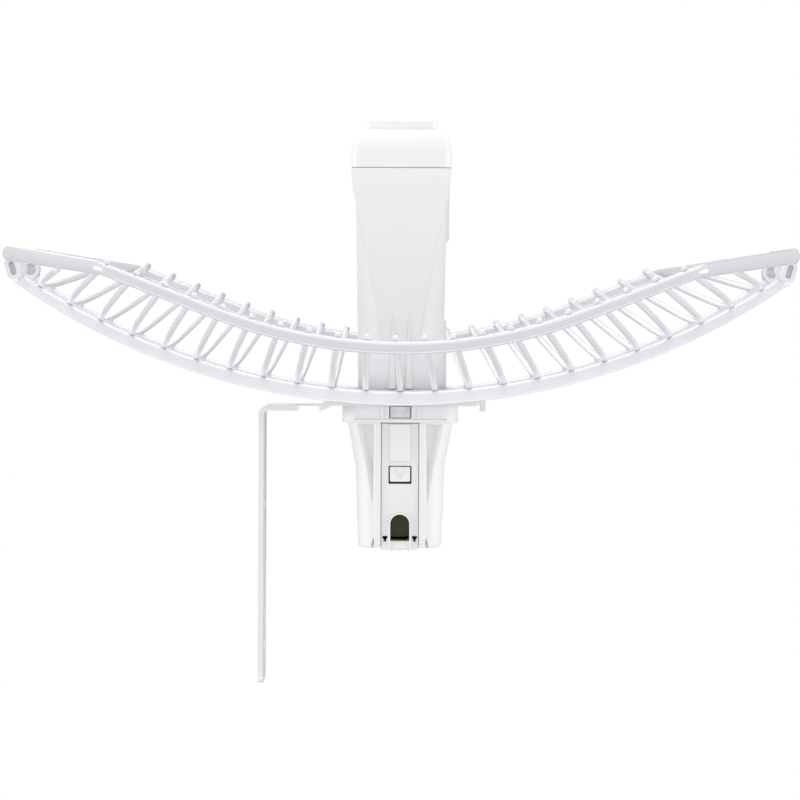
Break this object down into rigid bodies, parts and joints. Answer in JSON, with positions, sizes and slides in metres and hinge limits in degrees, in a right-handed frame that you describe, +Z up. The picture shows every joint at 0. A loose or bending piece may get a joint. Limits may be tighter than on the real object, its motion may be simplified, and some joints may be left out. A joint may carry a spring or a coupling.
{
  "type": "parabolic grid antenna",
  "caption": "Octagonal parabolic grid reflector with upright bars on two ribs, a radio tube through its hub, a sliding cable door and an L-shaped mast bracket.",
  "frame": {"origin": "centre of the mast bracket's outer face, between its clamp slots", "axes": "+Z up along the mast, -X out of the face towards the mast, -Y the way the antenna beams, +Y back past the mast"},
  "size_m": [0.362, 0.2622, 0.267],
  "materials": {
    "grid_coat": "smooth white powder coat, faint cool tint",
    "bracket_coat": "white powder coat",
    "screw_steel": "zinc plated",
    "housing_plastic": "fine moulded grain, light grey-white",
    "cap_plastic": "smooth moulded white",
    "seal_rubber": "dark silicone",
    "bare_aluminium": "mill finish",
    "board_laminate": "solder mask",
    "patch_brass": "satin",
    "can_steel": "tinned",
    "pad_silicone": "soft pad",
    "jack_plastic": "satin black",
    "button_plastic": "satin grey",
    "led_lens": "frosted lens",
    "clear_plastic": "clear light guide",
    "latch_plastic": "fine moulded grain",
    "clip_steel": "spring steel"
  },
  "bodies": {
    "antenna": {"rim_frame": "grid_coat", "rib_lower": "grid_coat", "rib_upper": "grid_coat", "grid_bars_left": "grid_coat", "grid_bars_right": "grid_coat", "grid_bars_lower_middle": "grid_coat", "grid_bars_upper_middle": "grid_coat", "rib_end_lugs": "grid_coat", "hub_plate": "grid_coat", "mast_bracket": "bracket_coat", "bracket_screws": "screw_steel", "radio_housing": "housing_plastic", "feed_cap": "cap_plastic", "head_gasket": "seal_rubber", "front_plate": "cap_plastic", "sub_reflector": "bare_aluminium", "feed_board": "board_laminate", "feed_patches": "patch_brass", "main_board": "board_laminate", "shield_cans": "can_steel", "thermal_pad": "pad_silicone", "heat_spreader": "bare_aluminium", "ethernet_jack": "jack_plastic", "jack_contacts": "patch_brass", "reset_switch": "jack_plastic", "status_leds": "led_lens", "light_guide": "clear_plastic", "light_window": "housing_plastic"},
    "door": {"cable_door": "housing_plastic"},
    "latch": {"door_latch": "latch_plastic"},
    "clip": {"retaining_clip": "clip_steel"},
    "reset": {"reset_button": "button_plastic"}
  },
  "joints": [
    {"name": "door_slide", "type": "slide", "parent": "antenna", "child": "door", "axis": [0, 1, 0], "range_m": [0, 0.06]},
    {"name": "latch_press", "type": "slide", "parent": "door", "child": "latch", "axis": [0, 0, 1], "range_m": [0, 0.0012], "stiffness_N_per_m": 600, "springref_m": -0.0003},
    {"name": "clip_press", "type": "slide", "parent": "antenna", "child": "clip", "axis": [0, 0, 1], "range_m": [0, 0.0015], "stiffness_N_per_m": 1200, "springref_m": -0.0003},
    {"name": "reset_press", "type": "slide", "parent": "antenna", "child": "reset", "axis": [0, 0, 1], "range_m": [0, 0.0004], "stiffness_N_per_m": 1500, "springref_m": -0.0002}
  ]
}
